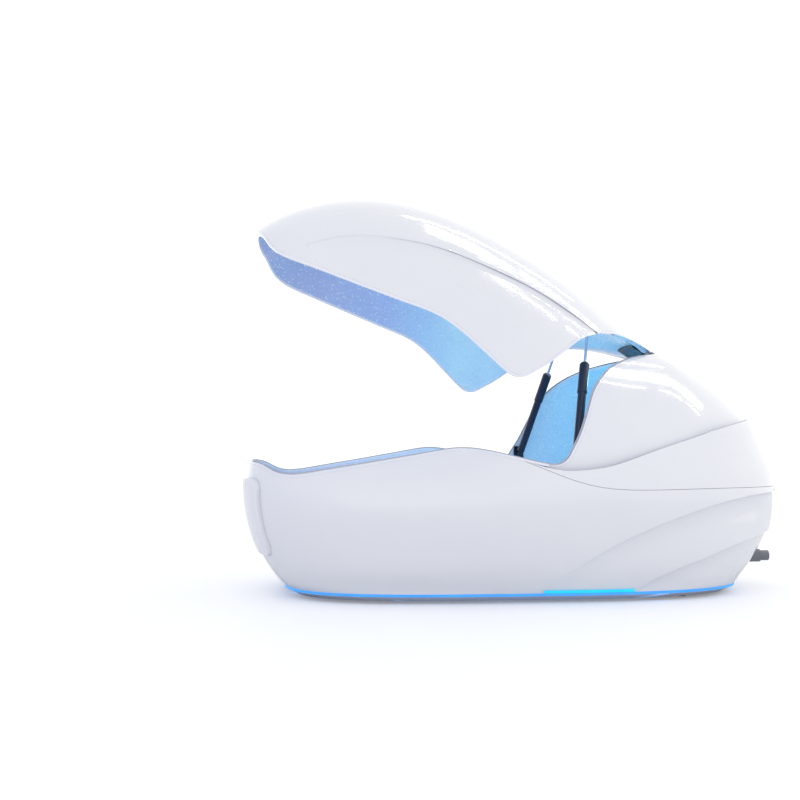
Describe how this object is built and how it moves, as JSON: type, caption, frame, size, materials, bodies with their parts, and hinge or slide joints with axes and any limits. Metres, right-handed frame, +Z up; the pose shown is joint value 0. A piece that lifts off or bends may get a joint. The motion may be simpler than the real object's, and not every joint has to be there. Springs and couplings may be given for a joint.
{
  "type": "flotation tank",
  "caption": "Enclosed float tank: moulded hull with a lined basin, fixed rear hood and a gas-strut clamshell lid shown raised.",
  "frame": {"origin": "middle of the footprint at floor level", "axes": "+Z up, +X towards the hinged rear end, +Y towards the tank's right-hand side seen from the nose, lid raised at rest"},
  "size_m": [2.513, 1.4799, 1.8368],
  "materials": {
    "blue_liner": "blue liner with fine glitter",
    "bright_steel": "bright",
    "button_cap": "glossy",
    "dark_metal": "satin black",
    "galvanised_steel": "galvanised",
    "grey_plastic": "satin",
    "light_diffuser": "lit blue diffuser",
    "pearl_edge": "glossy pearl white edge",
    "plinth": "satin grey plinth",
    "rubber_foot": "black rubber",
    "seal": "pale rubber seal",
    "white_gelcoat": "glossy white gelcoat",
    "white_trim": "glossy white"
  },
  "bodies": {
    "base": {"base_rim": "pearl_edge", "base_shell": "white_gelcoat", "basin_lamp_left": "white_trim", "basin_lamp_right": "white_trim", "button_panel": "white_trim", "cable_gland": "grey_plastic", "coaming": "blue_liner", "collar_seal": "seal", "cove_light": "light_diffuser", "floor_drain": "white_trim", "frame_cross_1": "galvanised_steel", "frame_cross_2": "galvanised_steel", "frame_cross_3": "galvanised_steel", "frame_cross_4": "galvanised_steel", "frame_cross_5": "galvanised_steel", "frame_rail_left": "galvanised_steel", "frame_rail_right": "galvanised_steel", "hinge_pin": "bright_steel", "hood_hinge_leaf": "dark_metal", "hood_liner": "blue_liner", "lamp_lens_left": "light_diffuser", "lamp_lens_right": "light_diffuser", "levelling_foot_1": "rubber_foot", "levelling_foot_2": "rubber_foot", "levelling_foot_3": "rubber_foot", "levelling_foot_4": "rubber_foot", "levelling_foot_5": "rubber_foot", "levelling_foot_6": "rubber_foot", "light_strip": "light_diffuser", "light_window_left": "light_diffuser", "light_window_right": "light_diffuser", "nose_panel": "white_gelcoat", "plinth": "plinth", "rear_collar": "white_gelcoat", "rear_hood": "white_gelcoat", "return_nozzle_left": "white_trim", "return_nozzle_right": "white_trim", "return_port": "grey_plastic", "rim_seal": "seal", "strut_anchor_left": "dark_metal", "strut_anchor_right": "dark_metal", "suction_grille_left": "white_trim", "suction_grille_right": "white_trim", "suction_port": "grey_plastic", "tub_liner": "blue_liner", "vent_grille": "white_trim"},
    "lid": {"lid_hinge_leaf": "dark_metal", "lid_liner": "blue_liner", "lid_rim": "pearl_edge", "lid_shell": "white_gelcoat", "strut_clevis_left": "dark_metal", "strut_clevis_right": "dark_metal"},
    "strut_tube_left": {"strut_tube_left": "dark_metal", "strut_foot_left": "dark_metal"},
    "strut_rod_left": {"strut_rod_left": "bright_steel"},
    "strut_tube_right": {"strut_tube_right": "dark_metal", "strut_foot_right": "dark_metal"},
    "strut_rod_right": {"strut_rod_right": "bright_steel"},
    "light_button": {"light_button": "button_cap"},
    "call_button": {"call_button": "button_cap"}
  },
  "joints": [
    {"name": "lid_hinge", "type": "hinge", "parent": "base", "child": "lid", "pos_m": [0.655, 0, 1.10878], "axis": [0, 1, 0], "range_deg": [-31, 0]},
    {"name": "strut_swing_left", "type": "hinge", "parent": "base", "child": "strut_tube_left", "pos_m": [0.184, -0.6, 0.629], "axis": [-0.9754, 0.168, 0.1425], "range_deg": [0, 9.2]},
    {"name": "strut_slide_left", "type": "slide", "parent": "strut_tube_left", "child": "strut_rod_left", "axis": [0.2072, 0.4803, 0.8523], "range_m": [-0.1565, 0]},
    {"name": "strut_swing_right", "type": "hinge", "parent": "base", "child": "strut_tube_right", "pos_m": [0.184, 0.6, 0.629], "axis": [0.9754, 0.168, -0.1425], "range_deg": [0, 9.2]},
    {"name": "strut_slide_right", "type": "slide", "parent": "strut_tube_right", "child": "strut_rod_right", "axis": [0.2072, -0.4803, 0.8523], "range_m": [-0.1565, 0]},
    {"name": "light_button_press", "type": "slide", "parent": "base", "child": "light_button", "axis": [0, -1, 0], "range_m": [0, 0.003], "stiffness_N_per_m": 600},
    {"name": "call_button_press", "type": "slide", "parent": "base", "child": "call_button", "axis": [0, -1, 0], "range_m": [0, 0.003], "stiffness_N_per_m": 600}
  ],
  "couplings": [
    {"joint": "strut_swing_left", "follows": "lid_hinge", "ratio": -0.29523},
    {"joint": "strut_slide_left", "follows": "lid_hinge", "m_per_rad": 0.28826},
    {"joint": "strut_swing_right", "follows": "lid_hinge", "ratio": -0.29523},
    {"joint": "strut_slide_right", "follows": "lid_hinge", "m_per_rad": 0.28826}
  ]
}
